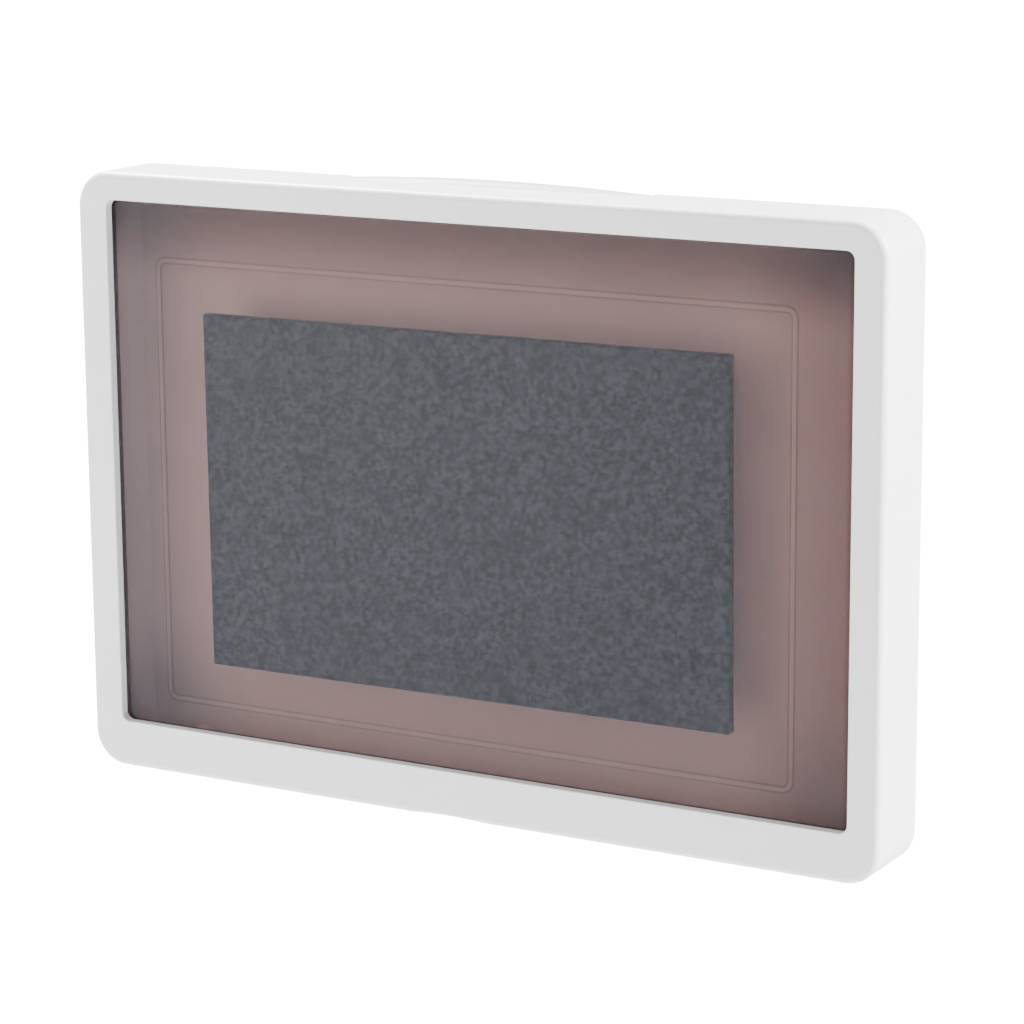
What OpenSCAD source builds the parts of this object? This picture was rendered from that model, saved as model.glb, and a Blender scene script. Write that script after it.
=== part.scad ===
// Wall-mounted touch-through box for a phone: a deep framed cover with a clear tinted film
// flips up on a crowned hinge barrel, over a shallow tray that holds a foam pad.
// Millimetres. Origin: centre of the wall face (back of the adhesive pad).
// +X to the right, +Z up, the wall is behind (+Y) and the front faces -Y.

/* [Front cover] */
// Width of the cover, left to right
body_w = 205; // [150:1:260]
// Height of the cover
body_h = 143; // [110:1:180]
// Depth of the cover, from its rear rim to its front face
body_d = 20; // [16.5:0.5:26]
// Corner radius of the outline
corner_r = 8.3; // [5:0.1:14]
// Rounding of the front edge
edge_r = 1.6; // [1.2:0.1:3]
// Thickness of the cover's side walls
cover_wall = 2.2; // [1.6:0.1:2.6]
// Thickness of the cover's front plate
face_t = 3; // [2.6:0.1:4]
// Front border to the left of the window
bezel_left = 8.3; // [7:0.1:14]
// Front border to the right of the window
bezel_right = 7.5; // [7:0.1:14]
// Front border above the window
bezel_top = 6.5; // [5.5:0.1:14]
// Front border below the window
bezel_bottom = 11.3; // [9:0.1:20]
// Corner radius of the window
window_r = 2; // [1:0.1:5]

/* [Finger notch] */
// Width of the shallow notch under the front edge
notch_w = 22; // [14:1:40]
// Depth of the notch
notch_h = 0.8; // [0.4:0.1:1.2]
// How far the notch reaches behind the front face
notch_d = 9; // [5:0.5:12]
// Sideways place of the notch from the middle
notch_x = -4; // [-10:0.5:10]

/* [Film] */
// Thickness of the touch film
film_t = 0.4; // [0.3:0.05:0.6]
// Thickness of the adhesive ring under the film
film_tape_t = 0.4; // [0.3:0.05:0.6]
// How far the film reaches past the window
film_lap = 1.8; // [1.2:0.1:2.2]
// Width of the raised outline on the film
outline_w = 164; // [110:0.5:170]
// Height of the raised outline on the film
outline_h = 106.5; // [80:0.5:112]
// Sideways place of the raised outline
outline_x = -0.5; // [-4:0.1:4]
// Upward place of the raised outline
outline_z = -0.9; // [-4:0.1:4]
// Line width of the raised outline
outline_line = 1.2; // [0.8:0.1:2]
// Height that the outline stands above the film
outline_rise = 0.2; // [0.1:0.05:0.3]
// Thickness of the frame that holds the film
frame_t = 1.2; // [1:0.1:2]
// Radius of the frame screws
frame_screw_r = 0.6; // [0.5:0.05:0.8]

/* [Tray] */
// Gap between the tray and the cover around it
tray_gap = 1; // [0.8:0.1:1.4]
// Thickness of the tray's side walls
tray_wall = 2; // [1.6:0.1:2.4]
// Thickness of the tray's back
back_t = 2; // [1.6:0.1:2.4]
// Height of the rim seal
seal_h = 2.2; // [1.8:0.1:2.6]

/* [Foam pad] */
// Width of the foam pad
pad_w = 136; // [110:1:165]
// Height of the foam pad
pad_h = 84; // [70:1:100]
// Distance from the front face back to the pad
pad_setback = 7.2; // [6:0.1:8.5]
// Sideways place of the pad
pad_x = -4.6; // [-8:0.1:8]
// Upward place of the pad
pad_z = -2.8; // [-8:0.1:8]
// Turn of the pad on the tray, in degrees
pad_turn = 0.4; // [-1:0.1:1]
// Corner radius of the pad
pad_r = 0.6; // [0.5:0.1:6]
// Thickness of the pad's front sheet
pad_sheet_t = 2.5; // [2:0.1:4]
// How far the front sheet reaches past the block under it
pad_overhang = 7; // [3:0.5:10]
// Thickness of the tape under the pad
pad_tape_t = 0.5; // [0.4:0.1:1]

/* [Hinge] */
// Half of the hinge barrel's length
barrel_half = 39; // [32:0.5:47]
// Radius of the barrel in the middle
barrel_r_mid = 4.2; // [3.9:0.1:4.8]
// Radius of the barrel at its ends
barrel_r_end = 3; // [2.8:0.1:3.4]
// Distance of the hinge axis from the cover's rear rim and from its top
hinge_inset = 3; // [2.9:0.05:3.4]
// Radius of the hinge pin
pin_r = 1; // [0.8:0.05:1.2]
// Length of each hinge ear on the cover
ear_len = 6; // [5:0.5:9]
// How far the cover opens, in degrees
open_angle = 105; // [90:1:110]

/* [Magnets] */
// Radius of the closing magnets
magnet_r = 2; // [1.5:0.1:2]
// Distance of each magnet from the middle
magnet_x = 78; // [55:1:85]

/* [Swivel] */
// Radius of the hub disc behind the tray
hub_r = 29; // [25:0.5:35]
// Thickness of the hub disc
hub_t = 2.8; // [2.4:0.1:4]
// Radius of the spigot that the hub turns on
spigot_r = 10; // [8:0.5:12]
// Radius of the circle of hub screws
hub_screw_ring = 24.2; // [22:0.1:26]
// Radius of the hub screws
hub_screw_r = 1.5; // [1.2:0.1:1.8]
// Radius of the thrust washer
washer_r = 15.5; // [13:0.5:16.5]
// Thickness of the thrust washer
washer_t = 1.5; // [1:0.1:2]
// Radius of the centre screw
centre_screw_r = 2.2; // [1.8:0.1:3]

/* [Wall bracket] */
// Width of the bracket plate
bracket_w = 76; // [72:1:100]
// Height of the bracket plate
bracket_h = 66; // [62:1:100]
// Thickness of the bracket plate
bracket_t = 2.6; // [2.4:0.1:4]
// Thickness of the adhesive pad on the wall
adhesive_t = 1; // [0.8:0.1:2]
// Height of the dovetail rail above the plate
rail_h = 3.2; // [2.6:0.1:4]
// Width of the rail at its root
rail_w = 30; // [24:0.5:36]
// Length of the rail, up and down
rail_len = 38; // [30:1:42]
// Radius of the wall screw holes
wall_hole_r = 2.1; // [1.6:0.1:2.6]
// Width between the wall screw holes
wall_hole_w = 62; // [60:1:90]
// Height between the wall screw holes
wall_hole_h = 52; // [50:1:90]

/* [Clearances] */
// Gap between pieces that move past each other
part_gap = 0.4; // [0.3:0.05:0.5]
// Radial gap of a pin or spigot that turns in its bore
running_gap = 0.05; // [0.02:0.01:0.08]
// Overlap of a screw or pin that is pressed in
press = 0.02; // [0.01:0.01:0.04]

/* [Hidden] */
$fn = 64;
eps = 0.01;
over = 1;

// Depths are distances from the wall, towards the front
bracket_back = adhesive_t;
bracket_front = bracket_back + bracket_t;
rail_front = bracket_front + rail_h;
shoe_back = bracket_front + part_gap;
groove_floor = rail_front + part_gap;
shoe_front = groove_floor + 2.8;
hub_back = shoe_front + part_gap;
rear = hub_back + hub_t;
friction_t = 0.4;
spigot_end = rear + part_gap + friction_t;
washer_front = spigot_end + washer_t;
centre_head_h = 2.2;
centre_head_front = washer_front + centre_head_h;
cup_floor = centre_head_front + 0.6;
cup_front = cup_floor + 1.6;
tray_floor = rear + back_t;
front = rear + body_d;

// Layers of the front, from the front plate back
plate_back = front - face_t;
film_back = plate_back;
film_front = film_back + film_t;
film_seat = film_front + film_tape_t;
frame_back = plate_back - frame_t;
frame_head_h = 0.8;
frame_head_back = frame_back - frame_head_h;
seal_front = frame_head_back - part_gap;
rim = seal_front - seal_h;
tongue_t = 1;
tongue_front = rim + 1.2;

// Outlines
inner_w = body_w - 2 * cover_wall;
inner_h = body_h - 2 * cover_wall;
inner_r = corner_r - cover_wall;
window_w = body_w - bezel_left - bezel_right;
window_h = body_h - bezel_top - bezel_bottom;
window_x = (bezel_left - bezel_right) / 2;
window_z = (bezel_bottom - bezel_top) / 2;
film_fit = 0.2;
outline_margin = 4;
bead_w = min(outline_w, window_w - 2 * (abs(window_x - outline_x) + outline_margin));
bead_h = min(outline_h, window_h - 2 * (abs(window_z - outline_z) + outline_margin));
tray_w = inner_w - 2 * tray_gap;
tray_h = inner_h - 2 * tray_gap;
tray_r = inner_r - tray_gap;
tray_in_w = tray_w - 2 * tray_wall;
tray_in_h = tray_h - 2 * tray_wall;
tray_in_r = tray_r - tray_wall;

// Hinge
axis_d = rear + hinge_inset;
axis_z = body_h / 2 - hinge_inset;
ear_r = hinge_inset - 0.2;
bush_r = 1.6 * pin_r;
bush_wall_gap = 0.35;
ear_start = barrel_half + bush_wall_gap;
ear_end = ear_start + ear_len;
pin_end = ear_end + 0.5;
cove_r = hinge_inset * sqrt(2) + 0.45;
cove_wall = 1.9;
stop_near = 50;
stop_len = 10;
stop_t = 3;
crown_steps = 16;

// Foam pad
pad_front = front - pad_setback;
pad_back = tray_floor + pad_tape_t;
pad_block_w = pad_w - 2 * pad_overhang;
pad_block_h = pad_h - 2 * pad_overhang;
hub_head_r = hub_screw_r + 1.1;
hub_head_h = 1.8;
pad_pocket_r = hub_screw_ring + hub_head_r + 0.7;
pad_pocket_front = cup_front + 0.4;

// Swivel cup in the tray's back
cup_r = washer_r + 2;
cup_wall_r = cup_r + 1.8;
hub_screw_tip = hub_back + 0.6;

// Magnets
magnet_z = -(tray_h / 2 - tray_wall + tongue_t / 2 - 0.2 - magnet_r);
cover_magnet_t = 1.6;
tray_magnet_t = 2;
boss_r = magnet_r + 0.7;
boss_len = tray_magnet_t + 1.6;

// Frame screws: three on each side and three along the bottom
frame_fit = 0.3;
frame_left = -(body_w / 2 - cover_wall + body_w / 2 - bezel_left + film_lap + film_fit) / 2;
frame_right = (body_w / 2 - cover_wall + body_w / 2 - bezel_right + film_lap + film_fit) / 2;
frame_bottom = -(body_h / 2 - cover_wall + body_h / 2 - bezel_bottom + film_lap + film_fit) / 2;
side_z = [-0.33 * body_h, 0.04 * body_h, 0.38 * body_h];
frame_screw_at = concat(
    [for (z = side_z) [frame_left, z]],
    [for (z = side_z) [frame_right, z]],
    [for (x = [-0.22, 0, 0.22]) [x * body_w, frame_bottom]]
);
frame_screw_front = plate_back + 1.4;
frame_head_r = 2 * frame_screw_r;

// Dovetail
rail_flare = rail_h;
shoe_w = 56;
shoe_h = 46;
shoe_z = 1.3;

// A rectangle with round corners
module round_rect(w, h, r) {
    square([w - 2 * r, h], center = true);
    square([w, h - 2 * r], center = true);
    for (x = [-1, 1], y = [-1, 1])
        translate([x * (w / 2 - r), y * (h / 2 - r)])
            circle(r);
}

// A flat shape drawn in X and Z, filled from one depth to another
module layer(from_d, to_d) {
    translate([0, -from_d, 0])
        rotate([90, 0, 0])
            linear_extrude(to_d - from_d)
                children();
}

// A layer with the outline of a round-cornered rectangle
module slab(from_d, to_d, w, h, r, x = 0, z = 0) {
    layer(from_d, to_d)
        translate([x, z])
            round_rect(w, h, r);
}

// A round rod along the depth
module rod(from_d, to_d, r, x = 0, z = 0) {
    translate([x, -from_d, z])
        rotate([90, 0, 0])
            cylinder(r = r, h = to_d - from_d);
}

// A round rod along X through the hinge axis
module hinge_rod(from_x, to_x, r) {
    translate([from_x, -axis_d, axis_z])
        rotate([0, 90, 0])
            cylinder(r = r, h = to_x - from_x);
}

// The crowned barrel, thickest in the middle, grown by a gap
module crowned_barrel(gap, half) {
    profile = [for (i = [-crown_steps : crown_steps])
        let (u = i / crown_steps)
        [barrel_r_end + (barrel_r_mid - barrel_r_end) * (1 - u * u) + gap, u * half]];
    translate([0, -axis_d, axis_z])
        rotate([0, 90, 0])
            rotate_extrude()
                polygon(concat([[0, -half]], profile, [[0, half]]));
}

// The quarter round that runs along the front edge of the cover
module edge_profile() {
    intersection() {
        circle(edge_r);
        square(edge_r + over);
    }
}

// The cover's outside: side walls, rounded front edge and flat front
module cover_outside() {
    edge_d = front - edge_r;
    run_x = body_w / 2 - corner_r;
    run_z = body_h / 2 - corner_r;
    bend = corner_r - edge_r;
    slab(rear, edge_d, body_w, body_h, corner_r);
    slab(edge_d, front, body_w - 2 * edge_r, body_h - 2 * edge_r, bend);
    translate([0, -edge_d, 0])
        rotate([90, 0, 0]) {
            for (side = [0, 180])
                rotate([0, 0, side]) {
                    translate([run_x + bend, run_z, 0])
                        rotate([90, 0, 0])
                            linear_extrude(2 * run_z)
                                edge_profile();
                    translate([-run_x, run_z + bend, 0])
                        rotate([90, 0, 90])
                            linear_extrude(2 * run_x)
                                edge_profile();
                }
            for (k = [0 : 3])
                translate([(k == 0 || k == 3 ? 1 : -1) * run_x, (k < 2 ? 1 : -1) * run_z, 0])
                    rotate([0, 0, 90 * k])
                        rotate_extrude(angle = 90)
                            translate([bend, 0])
                                edge_profile();
        }
}

// The cover's hollow, window and film seat
module cover_hollow() {
    slab(rear - over, plate_back, inner_w, inner_h, inner_r);
    slab(rear, front + over, window_w, window_h, window_r, window_x, window_z);
    slab(plate_back - over, film_seat, window_w + 2 * (film_lap + film_fit),
        window_h + 2 * (film_lap + film_fit), window_r + film_lap, window_x, window_z);
}

// The shallow finger notch under the front edge
module finger_notch() {
    notch_r = (notch_w * notch_w / 4 + notch_h * notch_h) / (2 * notch_h);
    translate([notch_x, -(front - notch_d), -body_h / 2 + notch_h - notch_r])
        rotate([90, 0, 0])
            cylinder(r = notch_r, h = notch_d + over, $fn = 128);
}

module front_cover() {
    color("Gainsboro")
        difference() {
            union() {
                difference() {
                    cover_outside();
                    cover_hollow();
                }
                for (side = [-1, 1])
                    hinge_rod(side < 0 ? -ear_end : ear_start, side < 0 ? -ear_start : ear_end, ear_r);
            }
            finger_notch();
            crowned_barrel(0.35, ear_start);
            translate([-ear_start, -axis_d, axis_z - 2 * hinge_inset])
                cube([2 * ear_start, hinge_inset + over, 4 * hinge_inset]);
            hinge_rod(-ear_end - over, ear_end + over, bush_r);
            for (p = frame_screw_at)
                rod(plate_back - over, frame_screw_front, frame_screw_r - press, p[0], p[1]);
            for (side = [-1, 1])
                rod(plate_back - over, plate_back + cover_magnet_t, magnet_r, side * magnet_x, magnet_z);
        }
}

module film_tape() {
    color("DimGray")
        layer(film_front, film_seat)
            translate([window_x, window_z])
                difference() {
                    round_rect(window_w + 2 * film_lap, window_h + 2 * film_lap, window_r + film_lap);
                    round_rect(window_w + 2 * film_fit, window_h + 2 * film_fit, window_r + film_fit);
                }
}

module touch_film() {
    color("RosyBrown", 0.5) {
        slab(film_back, film_front, window_w + 2 * film_lap, window_h + 2 * film_lap,
            window_r + film_lap, window_x, window_z);
        layer(film_front - eps, film_front + outline_rise)
            translate([outline_x, outline_z])
                difference() {
                    round_rect(bead_w, bead_h, 3);
                    round_rect(bead_w - 2 * outline_line, bead_h - 2 * outline_line, 3 - outline_line);
                }
    }
}

module film_frame() {
    color("DarkGray")
        difference() {
            slab(frame_back, plate_back, inner_w - 2 * frame_fit, inner_h - 2 * frame_fit,
                inner_r - frame_fit);
            slab(frame_back - over, plate_back + over, window_w + 2 * frame_fit,
                window_h + 2 * frame_fit, window_r + frame_fit, window_x, window_z);
            for (p = frame_screw_at)
                rod(frame_back - over, plate_back + over, frame_screw_r + 0.1, p[0], p[1]);
        }
}

module frame_screws() {
    color("Silver")
        for (p = frame_screw_at) {
            rod(frame_back - eps, frame_screw_front - 0.1, frame_screw_r, p[0], p[1]);
            rod(frame_head_back, frame_back, frame_head_r, p[0], p[1]);
        }
}

module cover_magnets() {
    color("SlateGray")
        for (side = [-1, 1])
            rod(plate_back, plate_back + cover_magnet_t, magnet_r, side * magnet_x, magnet_z);
}

module hinge_bushes() {
    color("Gold")
        for (side = [-1, 1])
            difference() {
                hinge_rod(side < 0 ? -ear_end : ear_start, side < 0 ? -ear_start : ear_end, bush_r);
                hinge_rod(-pin_end - over, pin_end + over, pin_r + running_gap);
            }
}

// The tray's box with its rim tongue, hinge block, magnet bosses and swivel cup
module tray_solid() {
    difference() {
        slab(rear, rim, tray_w, tray_h, tray_r);
        difference() {
            slab(tray_floor, rim + over, tray_in_w, tray_in_h, tray_in_r);
            hinge_rod(-tray_w / 2, tray_w / 2, cove_r + cove_wall);
            for (side = [-1, 1])
                rod(rim - boss_len, rim + over, boss_r, side * magnet_x, magnet_z);
            rod(rear, cup_front, cup_wall_r);
        }
    }
    rim_ring(rim - over, tongue_front, tongue_t / 2, 3 * tongue_t / 2);
}

// A ring that follows the tray's rim, between two insets from its outside
module rim_ring(from_d, to_d, inset_out, inset_in) {
    layer(from_d, to_d)
        difference() {
            round_rect(tray_w - 2 * inset_out, tray_h - 2 * inset_out, tray_r - inset_out);
            round_rect(tray_w - 2 * inset_in, tray_h - 2 * inset_in, tray_r - inset_in);
        }
}

// The ribs in the cove that the cover's rear edge lands on when it is fully open
module stop_ribs() {
    intersection() {
        hinge_rod(-stop_near - stop_len, stop_near + stop_len, cove_r + 0.3);
        translate([0, -axis_d, axis_z])
            rotate([-open_angle, 0, 0])
                for (side = [-1, 1])
                    translate([side * (stop_near + stop_len / 2), hinge_inset + 0.35 + stop_t / 2, 0])
                        cube([stop_len, stop_t, 5], center = true);
    }
}

module rear_tray() {
    color("WhiteSmoke")
        difference() {
            union() {
                difference() {
                    tray_solid();
                    for (side = [-1, 1])
                        hinge_rod(side < 0 ? -tray_w / 2 - over : barrel_half,
                            side < 0 ? -barrel_half : tray_w / 2 + over, cove_r);
                }
                crowned_barrel(0, barrel_half);
                stop_ribs();
            }
            hinge_rod(-barrel_half - over, barrel_half + over, pin_r - press);
            rod(rear - over, cup_floor, cup_r);
            for (a = [45 : 90 : 315])
                rod(rear - over, tray_floor + over, hub_screw_r + 0.2,
                    hub_screw_ring * cos(a), hub_screw_ring * sin(a));
            for (side = [-1, 1])
                rod(rim - tray_magnet_t, rim + over, magnet_r, side * magnet_x, magnet_z);
        }
}

module rim_seal() {
    color("DarkSlateGray")
        difference() {
            rim_ring(rim, seal_front, 0, tray_wall);
            rim_ring(rim - over, tongue_front, tongue_t / 2, 3 * tongue_t / 2);
        }
}

// Places a flat shape on the pad's spot, with its small turn
module pad_place() {
    translate([pad_x, pad_z])
        rotate(pad_turn)
            children();
}

module foam_pad() {
    color("SlateGray")
        difference() {
            union() {
                layer(pad_back, pad_front - pad_sheet_t + eps)
                    pad_place()
                        round_rect(pad_block_w, pad_block_h, pad_r);
                layer(pad_front - pad_sheet_t, pad_front)
                    pad_place()
                        round_rect(pad_w, pad_h, pad_r);
            }
            rod(pad_back - over, pad_pocket_front, pad_pocket_r);
        }
}

module pad_tape() {
    color("LightGray")
        difference() {
            layer(tray_floor, pad_back)
                pad_place()
                    round_rect(pad_block_w - 2, pad_block_h - 2, pad_r);
            rod(tray_floor - over, pad_back + over, pad_pocket_r + 1);
        }
}

module hinge_pin() {
    color("LightSteelBlue")
        hinge_rod(-pin_end, pin_end, pin_r);
}

module tray_magnets() {
    color("SlateGray")
        for (side = [-1, 1])
            rod(rim - tray_magnet_t, rim, magnet_r, side * magnet_x, magnet_z);
}

module swivel_hub() {
    color("LightGray")
        difference() {
            rod(hub_back, rear, hub_r);
            rod(hub_back - over, rear + over, spigot_r + running_gap);
            for (a = [45 : 90 : 315])
                rod(hub_screw_tip - 0.2, rear + over, hub_screw_r - press,
                    hub_screw_ring * cos(a), hub_screw_ring * sin(a));
        }
}

module hub_screws() {
    color("Silver")
        for (a = [45 : 90 : 315]) {
            rod(hub_screw_tip, tray_floor + eps, hub_screw_r,
                hub_screw_ring * cos(a), hub_screw_ring * sin(a));
            rod(tray_floor, tray_floor + hub_head_h, hub_head_r,
                hub_screw_ring * cos(a), hub_screw_ring * sin(a));
        }
}

// The dovetail's cross-section, in X and depth, grown by a gap
module dovetail(gap) {
    root = rail_w / 2 + gap;
    polygon([
        [-root, 0],
        [root, 0],
        [root + rail_flare + gap, rail_h + gap],
        [-root - rail_flare - gap, rail_h + gap]
    ]);
}

// The rail, or the groove for it, from one height to another
module rail(gap, low_z, high_z) {
    translate([0, -bracket_front, low_z])
        mirror([0, 1, 0])
            linear_extrude(high_z - low_z)
                dovetail(gap);
}

module slide_shoe() {
    color("Gray")
        difference() {
            union() {
                slab(shoe_back, shoe_front, shoe_w, shoe_h, 5, 0, shoe_z);
                rod(shoe_front - over, spigot_end, spigot_r);
            }
            rail(part_gap, shoe_z - shoe_h / 2 - over, rail_len / 2 + part_gap);
            rod(groove_floor + 1, spigot_end + over, centre_screw_r - press);
        }
}

module friction_ring() {
    color("Black")
        difference() {
            rod(spigot_end - friction_t, spigot_end, washer_r - 0.5);
            rod(spigot_end - over, spigot_end + over, spigot_r + 0.6);
        }
}

module thrust_washer() {
    color("Silver")
        difference() {
            rod(spigot_end, washer_front, washer_r);
            rod(spigot_end - over, washer_front + over, centre_screw_r + 0.2);
        }
}

module centre_screw() {
    color("Silver")
        difference() {
            union() {
                rod(groove_floor + 1.3, washer_front + eps, centre_screw_r);
                rod(washer_front, centre_head_front, 2 * centre_screw_r);
            }
            rod(centre_head_front - 1.4, centre_head_front + over, 1.6, $fn = 6);
        }
}

module wall_bracket() {
    color("Gray")
        difference() {
            union() {
                slab(bracket_back, bracket_front, bracket_w, bracket_h, 7);
                rail(0, -rail_len / 2, rail_len / 2);
            }
            for (x = [-1, 1], z = [-1, 1])
                translate([x * wall_hole_w / 2, 0, z * wall_hole_h / 2])
                    rotate([90, 0, 0]) {
                        cylinder(r = wall_hole_r, h = bracket_front + over);
                        translate([0, 0, bracket_front - 1.8])
                            cylinder(r1 = wall_hole_r, r2 = wall_hole_r + 2.8, h = 2.8);
                    }
        }
}

module adhesive_pad() {
    color("White")
        difference() {
            slab(0, adhesive_t, bracket_w - 2, bracket_h - 2, 6);
            for (x = [-1, 1], z = [-1, 1])
                rod(-over, adhesive_t + over, wall_hole_r + 1, x * wall_hole_w / 2, z * wall_hole_h / 2);
        }
}

front_cover();
film_tape();
touch_film();
film_frame();
frame_screws();
cover_magnets();
hinge_bushes();
rear_tray();
rim_seal();
foam_pad();
pad_tape();
hinge_pin();
tray_magnets();
swivel_hub();
hub_screws();
slide_shoe();
friction_ring();
thrust_washer();
centre_screw();
wall_bracket();
adhesive_pad();
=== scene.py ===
"""A wall-mounted phone box with a tinted touch film: its looks, built around its CAD frame.

Each sub-assembly is a class with its sizes as fields and methods that build its meshes and
dress them. Sizes are in millimetres in the fields and in metres in the meshes. Depths are
distances from the wall towards the front, so a point at depth d has Y = -d.
"""

import logging
import math
from dataclasses import dataclass
from enum import Enum

import bmesh
import bpy
from mathutils import Matrix, Vector


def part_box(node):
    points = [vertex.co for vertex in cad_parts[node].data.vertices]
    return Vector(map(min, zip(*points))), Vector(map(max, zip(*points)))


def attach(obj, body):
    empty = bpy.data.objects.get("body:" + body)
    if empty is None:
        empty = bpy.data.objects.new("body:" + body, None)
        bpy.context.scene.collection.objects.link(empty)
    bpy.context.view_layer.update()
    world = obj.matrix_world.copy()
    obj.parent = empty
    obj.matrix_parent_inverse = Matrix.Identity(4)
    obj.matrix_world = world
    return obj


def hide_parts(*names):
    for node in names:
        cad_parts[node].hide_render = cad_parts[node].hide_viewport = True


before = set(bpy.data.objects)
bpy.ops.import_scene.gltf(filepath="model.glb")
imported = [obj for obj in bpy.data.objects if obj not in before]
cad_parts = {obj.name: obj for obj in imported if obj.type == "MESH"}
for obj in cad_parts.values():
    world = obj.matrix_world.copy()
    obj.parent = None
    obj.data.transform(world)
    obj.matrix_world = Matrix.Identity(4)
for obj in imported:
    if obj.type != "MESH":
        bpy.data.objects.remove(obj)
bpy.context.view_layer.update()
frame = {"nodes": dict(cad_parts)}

log = logging.getLogger("phone_box")

Socket = bpy.types.NodeSocket
Mesh = bmesh.types.BMesh
Edges = list[bmesh.types.BMEdge]
Piece = bpy.types.Object
Colour = tuple[float, float, float]
Node = bpy.types.ShaderNode
Material = bpy.types.Material

MM = 0.001
SHARP_ANGLE = math.radians(32)  # edges sharper than this stay sharp
ROUND_ANGLE = math.radians(50)  # the same for a piece whose edges are cut round
FLAT_ANGLE = math.radians(0.5)  # facets of a copied node flatter than this are one face
CORNER_ANGLE = math.radians(40)  # edges of a copied node sharper than this are rounded
MERGE = 1e-7  # new points closer than this are one
COPY_MERGE = 2e-6  # the same for a copied node's points, which are stored more coarsely


# ---- finishes


class Sockets:
    """Adds shader nodes to one material and links them."""

    def __init__(self, name: str) -> None:
        """Starts a material with an empty node tree.

        Args:
            name: the material's name.
        """
        self.material = bpy.data.materials.new(name)
        self.material.use_nodes = True
        self.tree = self.material.node_tree
        self.tree.nodes.clear()
        self.output = self.add("OutputMaterial")
        self.place = self.add("TexCoord").outputs["Object"]

    def add(self, kind: str, **plain: float) -> Node:
        """Adds a node.

        Args:
            kind: its kind.
            plain: its sockets' numbers by name, with _ for a space.

        Returns:
            The node.
        """
        node = self.tree.nodes.new("ShaderNode" + kind)
        for name, number in plain.items():
            node.inputs[name.replace("_", " ")].default_value = number
        return node

    def link(self, source: Socket, target: Socket) -> None:
        """Links one socket to another."""
        self.tree.links.new(source, target)

    def stretched(self, x: float, y: float, z: float) -> Socket:
        """Object coordinates stretched along each axis.

        Args:
            x, y, z: how many times finer the pattern gets along that axis.

        Returns:
            The stretched coordinates.
        """
        mapping = self.add("Mapping", Scale=(x, y, z))
        self.link(self.place, mapping.inputs["Vector"])
        return mapping.outputs["Vector"]

    def cloud(
        self,
        size_mm: float,
        detail: float = 3.0,
        rough: float = 0.5,
        place: Socket | None = None,
    ) -> Socket:
        """A noise pattern.

        Args:
            size_mm: size of its largest blots.
            detail: octaves of finer noise in it.
            rough: how strong the finer noise is.
            place: coordinates to read, or None for the object's own.

        Returns:
            Its value, from 0 to 1.
        """
        node = self.add("TexNoise", Scale=1 / (size_mm * MM), Detail=detail, Roughness=rough)
        self.link(place or self.place, node.inputs["Vector"])
        return node.outputs["Fac"]

    def cells(self, size_mm: float) -> Socket:
        """The distance to the nearest of many scattered points, as in foam.

        Args:
            size_mm: width of a cell.

        Returns:
            The distance, from 0 in a cell's middle.
        """
        node = self.add("TexVoronoi", Scale=1 / (size_mm * MM))
        self.link(self.place, node.inputs["Vector"])
        return node.outputs["Distance"]

    def ramp(
        self,
        value: Socket,
        low: Colour,
        high: Colour,
        start: float = 0.3,
        stop: float = 0.7,
    ) -> Socket:
        """A colour that goes from low to high as the value goes from start to stop.

        Args:
            value: the value to read.
            low: colour at start and below.
            high: colour at stop and above.
            start: where the change begins.
            stop: where it ends.

        Returns:
            The colour.
        """
        node = self.add("ValToRGB")
        first, last = node.color_ramp.elements
        first.position, last.position = start, stop
        first.color, last.color = (*low, 1), (*high, 1)
        self.link(value, node.inputs["Fac"])
        return node.outputs["Color"]

    def between(self, value: Socket, low: float, high: float) -> Socket:
        """A number that goes from low to high as the value goes from 0.3 to 0.7.

        Args:
            value: the value to read.
            low: the number at 0.3 and below.
            high: the number at 0.7 and above.

        Returns:
            The number.
        """
        node = self.add("MapRange", From_Min=0.3, From_Max=0.7, To_Min=low, To_Max=high)
        self.link(value, node.inputs["Value"])
        return node.outputs["Result"]

    def bump(
        self,
        value: Socket,
        height_mm: float,
        strength: float = 1.0,
        under: Socket | None = None,
    ) -> Socket:
        """A bumped normal.

        Args:
            value: the height pattern, from 0 to 1.
            height_mm: height of the pattern's full range.
            strength: how much of it shows.
            under: a normal that this one adds to, or None.

        Returns:
            The normal.
        """
        node = self.add("Bump", Strength=strength, Distance=height_mm * MM)
        self.link(value, node.inputs["Height"])
        if under is not None:
            self.link(under, node.inputs["Normal"])
        return node.outputs["Normal"]

    def surface(
        self,
        colour: Socket,
        normal: Socket | None = None,
        rough: Socket | float = 0.5,
        **plain: float,
    ) -> Node:
        """The Principled shader, not yet linked to the output.

        Args:
            colour: its base colour.
            normal: its normal, or None.
            rough: its roughness, a socket or one number.
            plain: other sockets' numbers by name, with _ for a space.

        Returns:
            The shader node.
        """
        node = self.add("BsdfPrincipled", **plain)
        self.link(colour, node.inputs["Base Color"])
        if normal is not None:
            self.link(normal, node.inputs["Normal"])
        if isinstance(rough, (int, float)):
            node.inputs["Roughness"].default_value = rough
        else:
            self.link(rough, node.inputs["Roughness"])
        return node

    def done(self, shader: Node) -> Material:
        """Links the shader to the output and returns the material."""
        self.link(shader.outputs[0], self.output.inputs["Surface"])
        return self.material


def darkened(colour: Colour, by: float) -> Colour:
    """The colour times a number."""
    return tuple(c * by for c in colour)


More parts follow.
